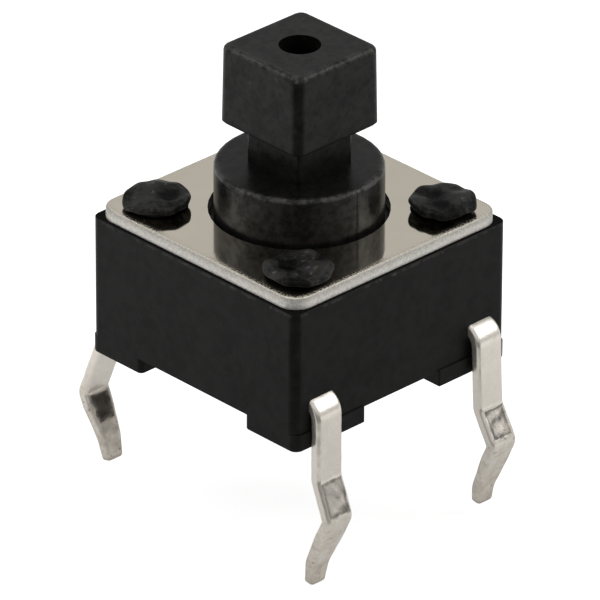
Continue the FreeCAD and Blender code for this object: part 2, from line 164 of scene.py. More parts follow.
def times(tree, first, *others):
    for other in others:
        first = calculate(tree, "MULTIPLY", first, other)
    return first


def addShare(tree, value, share, base):
    # the base with this share of the value added to it
    return calculate(tree, "MULTIPLY_ADD", value, share, base)


def distanceTo(tree, value, middle):
    return calculate(tree, "ABSOLUTE", calculate(tree, "SUBTRACT", value, middle))


def fromAxis(tree, vector):
    # how far a place is from the upright middle line
    return vectorMath(tree, "LENGTH", vectorMath(tree, "MULTIPLY", vector, (1, 1, 0)))


def remap(tree, value, low, high, toLow=0.0, toHigh=1.0, smooth=False):
    inputs = {"Value": value, "From Min": low, "From Max": high, "To Min": toLow, "To Max": toHigh}
    kind = "SMOOTHSTEP" if smooth else "LINEAR"
    return addNode(tree, "ShaderNodeMapRange", inputs, interpolation_type=kind).outputs[0]


def ramp(tree, value, ends, *levels, smooth=False):
    # the same between two lengths in millimetres
    return remap(tree, value, ends[0] * mm, ends[1] * mm, *levels, smooth=smooth)


def viewDirection(azimuth, elevation):
    # from the object towards a viewer at this azimuth and elevation, in degrees
    a, e = math.radians(azimuth), math.radians(elevation)
    return Vector((math.sin(a) * math.cos(e), -math.cos(a) * math.cos(e), math.sin(e)))


def towards(tree, vector, azimuth):
    # the cosine of the angle between the vector's flat direction and an azimuth
    unit = vectorMath(tree, "NORMALIZE", vectorMath(tree, "MULTIPLY", vector, (1, 1, 0)))
    return vectorMath(tree, "DOT_PRODUCT", unit, viewDirection(azimuth, 0))


def openSide(tree, vector, look):
    # 1 where the white cards are, falling to darkLevel on the side that is left open
    ends = [math.cos(math.radians(side)) for side in look["darkSides"]]
    facing = towards(tree, vector, look["darkAzimuth"])
    return remap(tree, facing, *ends, 1.0, look["darkLevel"], smooth=True)


def sideGain(tree, vector, look):
    # a little above 1 on the left and below 1 on the right
    return addShare(tree, towards(tree, vector, look["leftAzimuth"]), look["leftGain"], 1.0)


def makeFloor(look, height):
    half = look["floorHalf"]
    corners = [(x * half, y * half, height) for x, y in ((-1, -1), (1, -1), (1, 1), (-1, 1))]
    mesh = bpy.data.meshes.new("floor")
    mesh.from_pydata(corners, [], [(0, 1, 2, 3)])
    material, tree, where = newMaterial("floorWhite")
    path = addNode(tree, "ShaderNodeLightPath").outputs
    away = fromAxis(tree, where)
    near = ramp(tree, away, look["near"], 1.0, 0.0, smooth=True)
    cards = calculate(tree, "MAXIMUM", near, openSide(tree, where, look))
    level = ramp(tree, away, look["under"], *look["underLevels"])
    inGloss = times(tree, cards, level, sideGain(tree, where, look))
    glossy = calculate(tree, "MAXIMUM", path["Is Glossy Ray"], path["Is Transmission Ray"])
    strength = mixNumbers(tree, glossy, look["floorGlow"], inGloss)
    glow = addNode(tree, "ShaderNodeEmission", {"Color": white, "Strength": strength})
    matt = addNode(tree, "ShaderNodeBsdfDiffuse", {"Color": (*look["floorColour"], 1)})
    both = addNode(tree, "ShaderNodeAddShader", {0: glow.outputs[0], 1: matt.outputs[0]})
    inputs = {0: glossy, 1: both.outputs[0], 2: glow.outputs[0]}
    seen = addNode(tree, "ShaderNodeMixShader", inputs)
    addNode(tree, "ShaderNodeOutputMaterial", {"Surface": seen.outputs[0]})
    mesh.materials.append(material)
    floor = newObject("floor", mesh)


def makeWorld(look):
    world = bpy.data.worlds.new("studio")
    bpy.context.scene.world = world
    tree = nodeTree(world)
    path = addNode(tree, "ShaderNodeLightPath").outputs
    direction = addNode(tree, "ShaderNodeTexCoord").outputs["Generated"]
    up = separate(tree, direction)["Z"]
    sky = remap(tree, up, *look["skyHeights"], *look["skyLevels"], smooth=True)
    above = remap(tree, up, *look["closed"], smooth=True)
    cards = calculate(tree, "MAXIMUM", above, openSide(tree, direction, look))
    inGloss = times(tree, sky, cards, sideGain(tree, direction, look))
    gloss = mixNumbers(tree, path["Is Glossy Ray"], look["skyDiffuse"], inGloss)
    view = mixNumbers(tree, path["Is Camera Ray"], gloss, 1.0)
    shade = addNode(tree, "ShaderNodeBackground", {"Color": white, "Strength": view})
    addNode(tree, "ShaderNodeOutputWorld", {"Surface": shade.outputs[0]})


def makeLamps(lamps, aim):
    for name, lamp in lamps.items():
        light = bpy.data.lights.new(name, "AREA")
        light.shape = "SQUARE"
        light.size = lamp["size"]
        light.energy = lamp["power"]
        holder = newObject(name, light)
        away = viewDirection(lamp["azimuth"], lamp["elevation"])
        holder.location = aim + away * lamp["distance"]
        holder.rotation_euler = (-away).to_track_quat("-Z", "Y").to_euler()


def makeCamera(camera):
    back = viewDirection(camera["azimuth"], camera["elevation"])
    a = math.radians(camera["azimuth"])
    right = Vector((math.cos(a), math.sin(a), 0))
    up = back.cross(right)
    aim = Vector((0, 0, camera["aimHeight"])) + right * camera["aimRight"] + up * camera["aimUp"]
    roll = math.radians(camera["roll"])
    rolledRight = right * math.cos(roll) + up * math.sin(roll)
    rolledUp = up * math.cos(roll) - right * math.sin(roll)
    data = bpy.data.cameras.new("camera")
    data.lens = camera["lens"]
    data.sensor_width = camera["sensor"]
    data.clip_start = camera["clipFrom"]
    data.clip_end = camera["clipTo"]
    holder = newObject("camera", data)
    turned = Matrix((rolledRight, rolledUp, back)).transposed().to_4x4()
    turned.translation = aim + back * camera["distance"]
    holder.matrix_world = turned
    bpy.context.scene.camera = holder
    return aim


bpy.context.scene.view_settings.view_transform = "Standard"
aim = makeCamera(camera)
makeFloor(stageLook, cadBox[0].z)
makeWorld(stageLook)
makeLamps(lamps, aim)
print("stage, lamps and camera set")


# shared effects; every size is in millimetres
effects = {
    "contrast": 3.0,           # of the mottle, at a hardness of 1
    "speckPitch": 3.0,         # specks lie this many times their size apart
    "speckRim": (0.1, 0.32),   # a speck fades between these shares of that distance
    "drift": 4.0,              # and its outline wanders by up to about this many sizes,
    "driftPitch": 1.3,         # this many times as finely as the specks lie
    "edgeRange": (0.97, 0.6),  # share of the view inwards that is solid, on a face and an edge
    "edgeSamples": 8,
    "lineNoise": (3.0, 0.6, (1, 0.03, 1)),       # its detail, roughness and stretch
    "scratchNoise": (2.0, 0.5, (1, 0.02, 1)),
    "scratchTurn": 0.9,        # radians from the lines
    "scratchWidth": 2.0,       # of the lines' width
    "scratchRange": (0.68, 0.74),
}


def newGroup(name, inputs, *outputs):
    # an empty node group whose named sockets are numbers, or a vector where nothing is given
    group = bpy.data.node_groups.new(name, "ShaderNodeTree")
    for socket, value in inputs.items():
        kind = "NodeSocketVector" if value is None else "NodeSocketFloat"
        made = group.interface.new_socket(socket, in_out="INPUT", socket_type=kind)
        if value is not None:
            made.default_value = value
    for socket in outputs:
        group.interface.new_socket(socket, in_out="OUTPUT", socket_type="NodeSocketFloat")
    given, out = (group.nodes.new("NodeGroup" + kind) for kind in ("Input", "Output"))
    return group, given.outputs, out.inputs


def noiseIn(group, vector, size, detail=4.0, roughness=0.55, stretch=None):
    # a noise whose blotches are about this many millimetres wide
    if stretch is not None:
        vector = vectorMath(group, "MULTIPLY", vector, stretch)
    scale = calculate(group, "DIVIDE", 1 / mm, size)
    inputs = {"Vector": vector, "Scale": scale, "Detail": detail, "Roughness": roughness}
    return addNode(group, "ShaderNodeTexNoise", inputs).outputs["Fac"]


def mottleGroup():
    # soft blotches: a noise squeezed about its middle, 0 to 1
    inputs = {"Vector": None, "Size": 1.0, "Hardness": 1.0}
    group, given, out = newGroup("mottle", inputs, "Mask")
    noise = noiseIn(group, given["Vector"], given["Size"])
    middle = calculate(group, "SUBTRACT", noise, 0.5)
    contrast = times(group, given["Hardness"], effects["contrast"])
    spread = addShare(group, middle, contrast, 0.5)
    clamped = addNode(group, "ShaderNodeClamp", {"Value": spread}).outputs[0]
    group.links.new(clamped, out["Mask"])
    return group


def specklesGroup():
    # small specks: the distance to scattered points, kept only for some of the points, with
    # the places drifting a little so that no speck is round; Tint is one random number each
    inputs = {"Vector": None, "Size": 0.05, "Share": 0.2}
    group, given, out = newGroup("speckles", inputs, "Mask", "Tint")
    pitch = times(group, given["Size"], effects["speckPitch"])
    scale = calculate(group, "DIVIDE", 1 / mm, pitch)
    wander = addNode(group, "ShaderNodeTexNoise", {
        "Vector": given["Vector"], "Detail": 2.0,
        "Scale": times(group, scale, effects["driftPitch"])})
    centred = vectorMath(group, "SUBTRACT", wander.outputs["Color"], (0.5, 0.5, 0.5))
    reach = times(group, given["Size"], effects["drift"] * mm)
    drift = addNode(
        group, "ShaderNodeVectorMath", {0: centred, "Scale": reach}, operation="SCALE")
    moved = vectorMath(group, "ADD", given["Vector"], drift.outputs[0])
    cells = addNode(group, "ShaderNodeTexVoronoi", {"Vector": moved, "Scale": scale})
    spot = remap(group, cells.outputs["Distance"], *effects["speckRim"], 1.0, 0.0, smooth=True)
    luck = addNode(group, "ShaderNodeSeparateColor", {0: cells.outputs["Color"]}).outputs
    kept = calculate(group, "LESS_THAN", luck[0], given["Share"])
    group.links.new(times(group, spot, kept), out["Mask"])
    group.links.new(luck[1], out["Tint"])
    return group


def edgesGroup():
    # 1 along outer edges: how much of the view inwards, within a small reach, meets the skin
    group, given, out = newGroup("edges", {"Reach": 0.05}, "Mask")
    reach = times(group, given["Reach"], mm)
    solid = addNode(
        group, "ShaderNodeAmbientOcclusion", {"Distance": reach}, inside=True, only_local=True,
        samples=effects["edgeSamples"]).outputs["AO"]
    group.links.new(remap(group, solid, *effects["edgeRange"], smooth=True), out["Mask"])
    return group


def rolledGroup():
    # fine lines left by rolling, along Y, with a few longer scratches across them
    inputs = {"Vector": None, "Size": 0.03}
    group, given, out = newGroup("rolled", inputs, "Lines", "Scratches")
    lines = noiseIn(group, given["Vector"], given["Size"], *effects["lineNoise"])
    turned = addNode(group, "ShaderNodeMapping", {
        "Vector": given["Vector"], "Rotation": (0, 0, effects["scratchTurn"])}).outputs[0]
    wide = times(group, given["Size"], effects["scratchWidth"])
    streaks = noiseIn(group, turned, wide, *effects["scratchNoise"])
    group.links.new(lines, out["Lines"])
    group.links.new(remap(group, streaks, *effects["scratchRange"]), out["Scratches"])
    return group


mottle = mottleGroup()
speckles = specklesGroup()
edges = edgesGroup()
rolled = rolledGroup()


def useGroup(tree, group, **inputs):
    return addNode(tree, "ShaderNodeGroup", inputs, node_tree=group).outputs


def mottled(tree, where, size, hardness):
    return useGroup(tree, mottle, Vector=where, Size=size, Hardness=hardness)["Mask"]


def speckled(tree, where, size, share):
    return useGroup(tree, speckles, Vector=where, Size=size, Share=share)


def blendColour(tree, factor, first, second):
    # the second colour over the first by this factor
    made = addNode(tree, "ShaderNodeMix", {"Factor": factor}, data_type="RGBA")
    for socket, colour in ((made.inputs[6], first), (made.inputs[7], second)):
        if isinstance(colour, bpy.types.NodeSocket):
            tree.links.new(colour, socket)
        else:
            socket.default_value = (*colour, 1)
    return made.outputs[2]


def attribute(tree, name):
    return addNode(tree, "ShaderNodeAttribute", attribute_name=name).outputs["Fac"]


def bump(tree, height, depth, normal=None):
    # depth is in millimetres for a height of 1
    inputs = {"Height": height, "Strength": 1.0, "Distance": depth * mm}
    if normal is not None:
        inputs["Normal"] = normal
    return addNode(tree, "ShaderNodeBump", inputs).outputs[0]


def bumps(tree, *layers):
    # several heights over one another, each with its depth
    normal = None
    for height, depth in layers:
        normal = bump(tree, height, depth, normal)
    return normal


def finish(material, tree, colour, roughness, normal, **plain):
    # the shader itself, with everything constant set on its own sockets
    shader = addNode(tree, "ShaderNodeBsdfPrincipled", {
        "Base Color": colour, "Roughness": roughness, "Normal": normal, **plain})
    addNode(tree, "ShaderNodeOutputMaterial", {"Surface": shader.outputs[0]})
    return material


# Sizes, depths and heights are in millimetres, and heights are from the board.  Each mottle
# is given as its size and how hard its outlines are, and specks as their size and how many
# of the possible places have one.
# the edge colour is partly wear and partly a painted highlight, laid on edges that face up
plasticLook = {
    "housingBlack": {
        "dark": (0.0052, 0.0053, 0.0050), "light": (0.0080, 0.0079, 0.0075),
        "brown": (0.03, 0.025, 0.021), "blue": (0.024, 0.025, 0.028),
        "edge": (0.036, 0.035, 0.0335), "edgeReach": 0.04, "edgeWearAndHighlight": (0.1, 0.7),
        "gloss": (0.3, 0.4), "specular": 0.085, "film": (0.0, 0.05), "filmGloss": 0.4,
        "blotch": (0.9, 1.2), "patch": (0.22, 1.3), "grain": (0.05, 1.2), "grainDepth": 0.0005,
        "wave": (0.7, 0.5), "waveDepth": 0.003,
        "specks": (0.03, 0.08), "speckDepth": 0.0004, "dust": 0.4,
        # painted shade: the narrow step beside the cover is near black
        "ledgeShade": {
            "ends": (3.124, 3.137), "colour": (0.0015, 0.0015, 0.0014), "rough": 0.5,
            "filmless": True},
        # painted light: the feet's small steps are paler
        "footStepLight": {"below": 0.5, "upward": (0.3, 0.7), "colour": (0.03, 0.03, 0.0285)},
        # partly wear, partly painted highlight: a pale line under the wall's upper edge
        "wearAndHighlightLine": {
            "at": 3.085, "half": 0.04, "patches": (0.4, 0.7), "pale": 0.22,
            "chips": (0.09, 0.6), "colour": (0.11, 0.1, 0.088)},
    },
    "plungerBlack": {
        "dark": (0.0046, 0.0046, 0.0043), "light": (0.0106, 0.0098, 0.0089),
        "brown": (0.06, 0.05, 0.042), "blue": (0.052, 0.054, 0.062),
        "edge": (0.3, 0.294, 0.283), "edgeReach": 0.11, "edgeWearAndHighlight": (0.3, 1.0),
        "gloss": (0.27, 0.38), "specular": 0.1, "film": (0.015, 0.13), "filmGloss": 0.33,
        "blotch": (0.45, 1.2), "patch": (0.16, 1.3), "grain": (0.06, 1.2), "grainDepth": 0.0003,
        "wave": (0.4, 0.5), "waveDepth": 0.002,
        "specks": (0.045, 0.14), "speckDepth": 0.0, "dust": 0.5,
        "disc": {              # below this height it is dusty, and its film is thicker
            "top": 4.38, "film": 2.55, "dust": (0.1, 0.22), "colour": (0.036, 0.035, 0.0328)},
        "hole": (0.55, 0.75),
        "partingLine": {
            "y": -0.06, "width": 0.018, "top": 4.42, "colour": (0.001, 0.001, 0.001),
            "rough": 0.4, "depth": 0.01},
        # painted shade: darker just above the head's lower edge
        "headFootShade": {
            "ends": (5.315, 5.46), "shadeMost": 0.8, "colour": (0.002, 0.002, 0.002),
            "rough": 0.3, "filmless": True},
    },
    "stakeBlack": {
        "dark": (0.003, 0.003, 0.0028), "light": (0.034, 0.033, 0.0312),
        "brown": (0.12, 0.1, 0.084), "blue": (0.1, 0.105, 0.125),
        "edge": (0.07, 0.069, 0.065), "edgeReach": 0.05, "edgeWearAndHighlight": (0.1, 0.7),
        "gloss": (0.32, 0.5), "specular": 0.04, "film": (0.0, 0.2), "filmGloss": 0.4,
        "blotch": (0.4, 1.2), "patch": (0.14, 1.3), "grain": (0.05, 1.2), "grainDepth": 0.002,
        "wave": (0.2, 0.5), "waveDepth": 0.006,
        "specks": (0.055, 0.45), "speckDepth": 0.003, "dust": 0.85,
        # painted light and shade: high places paler, dents darker
        "reliefShading": {"share": 0.7, "range": (0.28, 0.78)},
    },
}

# what the three have in common; a range is the film's, from the least to the most
plasticMix = {
    "patch": 0.5, "blotch": 0.35, "grain": 0.15,   # what makes up the film
    "glossRange": (0.2, 0.8), "coatRange": (0.25, 0.75),
    "dustRange": (0.3, 0.7), "leastDust": 0.15, "dustRough": 0.15,
    "brownShare": 0.45,        # of the specks; the rest are blue
    "wearAndHighlightRange": (0.35, 0.62), "wearAndHighlightCoat": 0.3,
    "upward": (0.05, 0.35), "downwardWearAndHighlight": 0.03,  # edges that face down get hardly any of the wear and painted highlight
}


# marks on the plastics: each function gives one mark's mask
def partingLineMask(tree, skin, look):
    # the mould's halves meet in one dark hair line down the stem
    aside = distanceTo(tree, skin["Y"], look["y"] * mm)
    line = ramp(tree, aside, (look["width"], look["width"] / 3))
    outside = calculate(tree, "GREATER_THAN", skin["X"], 0.0)
    below = calculate(tree, "LESS_THAN", skin["Z"], look["top"] * mm)
    return times(tree, line, outside, below)


def ledgeShadeMask(tree, skin, look):
    # painted shade: the narrow step beside the cover is painted near black and rougher, without
    # film, as the dark gap under the cover
    return ramp(tree, skin["Z"], look["ends"])


def footStepLightMask(tree, skin, look):
    # painted light: the upper side of each foot's small step is painted pale, so that no dark line
    # of shade shows along it
    low = calculate(tree, "LESS_THAN", skin["Z"], look["below"] * mm)
    return times(tree, remap(tree, skin["upward"], *look["upward"]), low)


def wearAndHighlightLineMask(tree, skin, look):
    # partly wear and partly painted highlight: the wall is paler in a thin broken line just under
    # its upper edge
    band = ramp(tree, distanceTo(tree, skin["Z"], look["at"] * mm), (look["half"], 0.0))
    chips = speckled(tree, skin["where"], *look["chips"])["Mask"]
    pale = remap(tree, skin["patch"], *look["patches"], 0.0, look["pale"])
    return times(tree, band, calculate(tree, "MAXIMUM", chips, pale))


def headFootShadeMask(tree, skin, look):
    # painted shade: the head is painted darker, without its film, just above its lower edge
    over = calculate(tree, "GREATER_THAN", skin["Z"], look["ends"][0] * mm)
    return times(tree, ramp(tree, skin["Z"], look["ends"], look["shadeMost"], 0.0), over)


marks = {
    "partingLine": partingLineMask, "ledgeShade": ledgeShadeMask, "footStepLight": footStepLightMask,
    "wearAndHighlightLine": wearAndHighlightLineMask, "headFootShade": headFootShadeMask,
}


def overlay(tree, skin, mask, look):
    # one mark over the rest of the skin, with the roughness and depth that it adds
    skin["colour"] = blendColour(tree, mask, skin["colour"], look["colour"])
    if "rough" in look:
        skin["roughness"] = addShare(tree, mask, look["rough"], skin["roughness"])
    if "filmless" in look:
        skin["coat"] = mixNumbers(tree, mask, skin["coat"], 0.0)
    if "depth" in look:
        skin["normal"] = bump(tree, mask, -look["depth"], skin["normal"])


def makePlastic(name, look):
    # A worn film of handling lies over the black in patches: it is paler and reflects more.
    mix = plasticMix
    material, tree, where = newMaterial(name)
    spot = separate(tree, where)
    blotch = mottled(tree, where, *look["blotch"])
    patch = mottled(tree, where, *look["patch"])
    fine = mottled(tree, where, *look["grain"])
    specks = speckled(tree, where, *look["specks"])
    film = addShare(tree, patch, mix["patch"], times(tree, blotch, mix["blotch"]))
    film = addShare(tree, fine, mix["grain"], film)
    if "reliefShading" in look:
        # painted light and shade: high places on the top are painted paler and dents darker
        high = attribute(tree, "reliefShading")
        film = mixNumbers(tree, look["reliefShading"]["share"], film, high)
        film = remap(tree, film, *look["reliefShading"]["range"], smooth=True)
    colour = blendColour(tree, film, look["dark"], look["light"])
    coat = remap(tree, film, *mix["coatRange"], *look["film"])
    if "disc" in look:
        disc = look["disc"]
        low = calculate(tree, "LESS_THAN", spot["Z"], disc["top"] * mm)
        settled = times(tree, low, remap(tree, film, *mix["dustRange"], *disc["dust"]))
        colour = blendColour(tree, settled, colour, disc["colour"])
        coat = times(tree, coat, mixNumbers(tree, low, 1.0, disc["film"]))
    blue = calculate(tree, "GREATER_THAN", specks["Tint"], mix["brownShare"])
    dust = blendColour(tree, blue, look["brown"], look["blue"])
    dusty = remap(tree, film, *mix["dustRange"], mix["leastDust"], look["dust"])
    dusty = times(tree, specks["Mask"], dusty)
    colour = blendColour(tree, dusty, colour, dust)
    upward = separate(tree, addNode(tree, "ShaderNodeNewGeometry").outputs["Normal"])["Z"]
    # partly wear, partly painted highlight: edges that face up are paler and glossier
    worn = times(
        tree, useGroup(tree, edges, Reach=look["edgeReach"])["Mask"],
        remap(tree, film, *mix["wearAndHighlightRange"], *look["edgeWearAndHighlight"]),
        remap(tree, upward, *mix["upward"], mix["downwardWearAndHighlight"], 1.0))
    if "hole" in look:
        # the rim of the hole in the head gets none of the edges' wear and painted highlight
        worn = times(tree, worn, ramp(tree, fromAxis(tree, where), look["hole"]))
    colour = blendColour(tree, worn, colour, look["edge"])
    roughness = remap(tree, film, *mix["glossRange"], *look["gloss"])
    skin = {
        "where": where, "X": spot["X"], "Y": spot["Y"], "Z": spot["Z"], "upward": upward,
        "patch": patch, "colour": colour,
        "roughness": addShare(tree, dusty, mix["dustRough"], roughness),
        "coat": addShare(tree, worn, mix["wearAndHighlightCoat"], coat),
        "normal": bumps(
            tree, (mottled(tree, where, *look["wave"]), look["waveDepth"]),
            (fine, look["grainDepth"]), (specks["Mask"], look["speckDepth"])),
    }
    for mark, maskOf in marks.items():
        if mark in look:
            overlay(tree, skin, maskOf(tree, skin, look[mark]), look[mark])
    return finish(material, tree, skin["colour"], skin["roughness"], skin["normal"], **{
        "Coat Weight": skin["coat"], "Coat Roughness": look["filmGloss"], "Coat IOR": 1.5,
        "Specular IOR Level": look["specular"]})


steelLook = {
    "rolledSteel": {
        "base": (0.665, 0.612, 0.512), "stain": (0.6, 0.548, 0.452),
        "rollover": (0.38, 0.365, 0.33), "sheared": (0.88, 0.855, 0.79),
        "gloss": (0.05, 0.12), "line": 0.03, "lineDepth": 0.00004,
        "blotch": (0.5, 0.8), "wave": (1.4, 0.3), "waveDepth": 0.0008,
        "shear": (3.389, 3.374), "cutFace": (3.389, 3.16), "border": 0.2, "borderFrom": 2.6,
    },
    "springSteel": {
        "base": (0.62, 0.6, 0.56), "stain": (0.54, 0.51, 0.47),
        "rollover": (0.6, 0.58, 0.55), "sheared": (0.6, 0.58, 0.55),
        "gloss": (0.08, 0.16), "line": 0.04, "lineDepth": 0.00006,
        "blotch": (0.5, 0.8), "wave": (0.9, 0.3), "waveDepth": 0.0008,
        "shear": (1.0, 0.9), "cutFace": (1.0, 0.8), "border": 0.02, "borderFrom": 9.0,
    },
}


# what the two have in common
steelMix = {
    "specks": (0.025, 0.07), "grit": (0.05, 1.2),
    "blotchStain": 0.3, "speckStain": 0.6,         # how far these stain the sheet
    "borderRub": (0.25, 0.75, 0.1, 1.0),           # from the grit to the border's mask
    "ragged": 0.07,            # how far the sheared edge's lower tone strays
    "lineGloss": 0.5,          # the lines' share of the unevenness of the gloss
    "glossRange": (0.2, 0.8), "scratchRough": 0.1, "shearedRough": 0.4,
    "shearedMetal": 0.3, "gritMetal": 0.2, "gritDepth": 0.004,
}


def makeSteel(name, look):
    # Rolled sheet, bright on its faces; below the upper face's edge it is sheared, so it is
    # rough there, only partly a mirror, and paler towards the lower edge.
    mix = steelMix
    material, tree, where = newMaterial(name)
    spot = separate(tree, where)
    sheet = useGroup(tree, rolled, Vector=where, Size=look["line"])
    blotch = mottled(tree, where, *look["blotch"])
    grit = mottled(tree, where, *mix["grit"])
    specks = speckled(tree, where, *mix["specks"])["Mask"]
    sheared = ramp(tree, spot["Z"], look["shear"])
    uneven = calculate(tree, "SUBTRACT", grit, 0.5)
    lower = addShare(tree, uneven, mix["ragged"] * mm, spot["Z"])
    lower = ramp(tree, lower, look["cutFace"])
    cutFace = blendColour(tree, lower, look["rollover"], look["sheared"])
    colour = look["base"]
    for mask, share in ((blotch, mix["blotchStain"]), (specks, mix["speckStain"])):
        colour = blendColour(tree, times(tree, mask, share), colour, look["stain"])
    colour = blendColour(tree, sheared, colour, cutFace)
    # the shearing has left a ragged, rubbed border on the sheet's outer edge
    aside = calculate(
        tree, "MAXIMUM", *(calculate(tree, "ABSOLUTE", spot[axis]) for axis in "XY"))
    border = times(
        tree, useGroup(tree, edges, Reach=look["border"])["Mask"],
        calculate(tree, "GREATER_THAN", aside, look["borderFrom"] * mm),
        remap(tree, grit, *mix["borderRub"]))
    sheared = calculate(tree, "MAXIMUM", sheared, border)
    tone = mixNumbers(tree, mix["lineGloss"], blotch, sheet["Lines"])
    roughness = remap(tree, tone, *mix["glossRange"], *look["gloss"])
    roughness = addShare(tree, sheet["Scratches"], mix["scratchRough"], roughness)
    roughness = addShare(tree, sheared, mix["shearedRough"], roughness)
    metallic = addShare(tree, grit, mix["gritMetal"], mix["shearedMetal"])
    metallic = mixNumbers(tree, sheared, 1.0, metallic)
    normal = bumps(
        tree, (mottled(tree, where, *look["wave"]), look["waveDepth"]),
        (sheet["Lines"], look["lineDepth"]), (times(tree, grit, sheared), mix["gritDepth"]))
    return finish(material, tree, colour, roughness, normal, Metallic=metallic)


tinLook = {
    "base": (0.9, 0.85, 0.768), "dull": (0.52, 0.462, 0.385),
    # the tool's mark is dark as painted shade and reflection; the sheared tip's end shares its
    # colour
    "brown": (0.25, 0.2, 0.155), "pressed": (0.11, 0.096, 0.082),
    "gloss": (0.27, 0.38),
    "blotch": (0.3, 1.1), "patch": (0.09, 1.0),
    "patchShare": 0.45,        # the patches' share of the tone; the rest is the blotches'
    "pits": (0.05, 0.28), "pitDepth": 0.0016,
    "grain": (0.04, 1.0), "grainDepth": 0.0002, "grainRough": 0.4,
    "draw": 0.03,              # lines drawn along the strip
    "drawDepth": 0.0001,
    "drawNoise": (2.0, 0.5, (1, 1, 0.05)),
    "wave": (0.3, 0.5),        # the hammered unevenness of the bends
    "waveDepth": 0.0009,
    "worn": (-0.9, -1.9),      # mm; the plating grows duller between these heights,
    "wornDull": (0.22, 0.9),   # from this to this,
    "wornPits": (0.12, 0.9),   # and its pits browner,
    "tip": (-2.2, -3.3),       # and it is dirty towards the tips
    "tipDull": 0.4,
    "film": 0.3,               # how far the dull film hides the metal
    "filmLeast": 0.35,
    "roughFrom": 0.1,          # the roughness grows from this tone
    "markTone": (0.25, 0.75, 1.1, 0.5),   # from the tone to what is left of a pale mark
    "markGloss": 0.1,          # the mark's roughness is lower by this
}


def makeTin(name, look):
    material, tree, where = newMaterial(name)
    height = separate(tree, where)["Z"]
    blotch = mottled(tree, where, *look["blotch"])
    patch = mottled(tree, where, *look["patch"])
    grain = mottled(tree, where, *look["grain"])
    pits = speckled(tree, where, *look["pits"])["Mask"]
    drawn = noiseIn(tree, where, look["draw"], *look["drawNoise"])
    low = ramp(tree, height, look["worn"], smooth=True)
    tone = mixNumbers(tree, look["patchShare"], blotch, patch)
    tip = ramp(tree, height, look["tip"], 0.0, look["tipDull"])
    dull = addShare(tree, tone, mixNumbers(tree, low, *look["wornDull"]), tip)
    colour = blendColour(tree, dull, look["base"], look["dull"])
    stained = times(tree, pits, mixNumbers(tree, low, *look["wornPits"]))
    colour = blendColour(tree, stained, colour, look["brown"])
    # the bending tool leaves a sunk, polished mark, which each leg carries as an attribute; its
    # dark colour is painted shade and reflection
    mark = attribute(tree, "pressed")
    left = remap(tree, tone, *look["markTone"])
    mark = times(tree, mark, calculate(tree, "MAXIMUM", left, mark))
    colour = blendColour(tree, mark, colour, look["pressed"])
    rough = addShare(tree, grain, look["grainRough"], dull)
    roughness = remap(tree, rough, look["roughFrom"], 1.0, *look["gloss"])
    roughness = addShare(tree, mark, -look["markGloss"], roughness)
    film = calculate(tree, "ADD", dull, look["filmLeast"])
    metallic = addShare(tree, film, -look["film"], 1.0)
    normal = bumps(
        tree, (mottled(tree, where, *look["wave"]), look["waveDepth"]),
        (grain, look["grainDepth"]), (drawn, look["drawDepth"]),
        (times(tree, pits, low), -look["pitDepth"]))
    return finish(material, tree, colour, roughness, normal, Metallic=metallic)


housingBlack, plungerBlack, stakeBlack = (
    makePlastic(name, look) for name, look in plasticLook.items())
rolledSteel, springSteel = (makeSteel(name, look) for name, look in steelLook.items())
tinPlate = makeTin("tinPlate", tinLook)
nodeMaterials = {
    "base_housing": housingBlack, "plunger": plungerBlack, "cover_plate": rolledSteel,
    "snap_dome": springSteel, "terminal_frame_centre": tinPlate, "terminal_frame_outer": tinPlate,
}
for name, material in nodeMaterials.items():
    nodes[name].material_slots[0].material = material
print("materials made")


# shared mesh tools
def addPiece(name, points, faces, material, slot):
    mesh = bpy.data.meshes.new(name)
    mesh.from_pydata(points * mm, [], faces)
    mesh.update()
    mesh.materials.append(material)
    mesh.shade_smooth()
    piece = newObject(name, mesh)
    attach(piece, "housing")
    return piece


def addMask(piece, name, values):
    # one number for each point, which the material reads
    mask = piece.data.attributes.new(name, "FLOAT", "POINT")
    mask.data.foreach_set("value", values)


def surfaceOf(x, y, z):
    return np.stack(np.broadcast_arrays(x, y, z), axis=-1)


def closedTube(surface):
    # Rings of points as one skin that faces outwards: quads between each ring and the next,
    # with the last point of a ring joined to its first, and a fan that closes each end.
    rings, around = surface.shape[:2]
    points = np.concatenate([surface.reshape(-1, 3), surface[[0, -1]].mean(axis=1)])
    spot = np.arange(around)
    beside = (spot + 1) % around
    ring = np.arange(rings - 1)[:, None] * around
    quads = surfaceOf(ring + spot, ring + beside, ring + around + beside)
    quads = np.concatenate([quads, (ring + around + spot)[..., None]], axis=-1)
    middle, last = rings * around, (rings - 1) * around
    fans = surfaceOf([[middle], [middle + 1]], [beside, last + spot], [spot, last + beside])
    return points, quads.reshape(-1, 4).tolist() + fans.reshape(-1, 3).tolist()


def waves(chance, along, across, count, shortest, longest):
    # a sum of sines at random pitches and headings, in about -1 to 1
    pitch = chance.uniform(shortest, longest, count)
    heading = chance.uniform(0, math.tau, count)
    start = chance.uniform(0, math.tau, count)
    way = along[..., None] * np.cos(heading) + across[..., None] * np.sin(heading)
    return np.sin(way * math.tau / pitch + start).sum(axis=-1) / math.sqrt(count)


